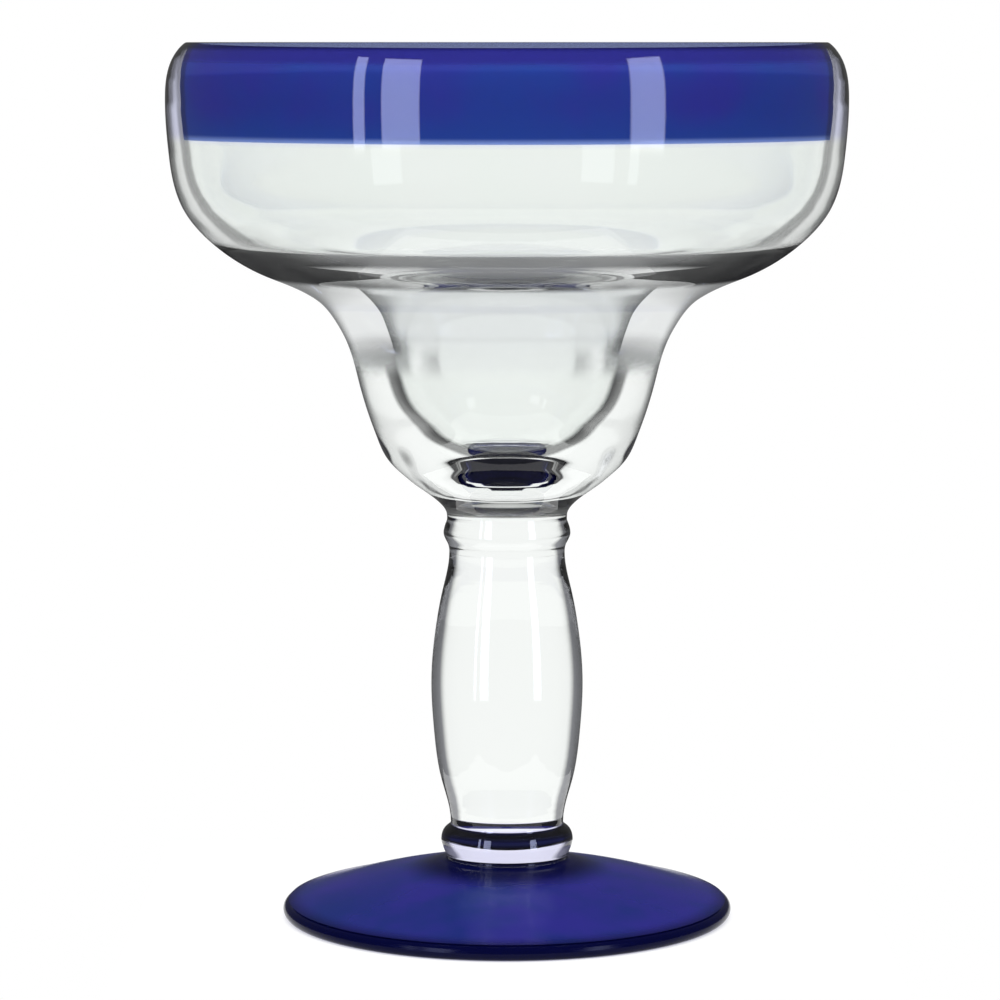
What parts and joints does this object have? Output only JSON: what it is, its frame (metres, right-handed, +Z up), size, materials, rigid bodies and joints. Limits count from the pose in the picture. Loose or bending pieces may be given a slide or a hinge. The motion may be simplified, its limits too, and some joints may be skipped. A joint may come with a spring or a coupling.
{
  "type": "margarita glass",
  "caption": "Stemmed cocktail glass with a wide stepped bowl, a cobalt band lining the rolled lip, a solid baluster stem between beads and a cobalt foot.",
  "frame": {"origin": "on the table, at the middle of the foot", "axes": "+Z up along the stem, about which every piece is turned; +X and +Y along the table, alike"},
  "size_m": [0.118, 0.118, 0.153],
  "materials": {
    "clear_glass": "clear, fire-polished",
    "cobalt_glass": "clear cobalt, fire-polished"
  },
  "bodies": {
    "root": {"bowl": "clear_glass", "rim_band": "cobalt_glass", "upper_bead": "clear_glass", "stem": "clear_glass", "lower_bead": "clear_glass", "foot": "cobalt_glass"}
  },
  "joints": []
}
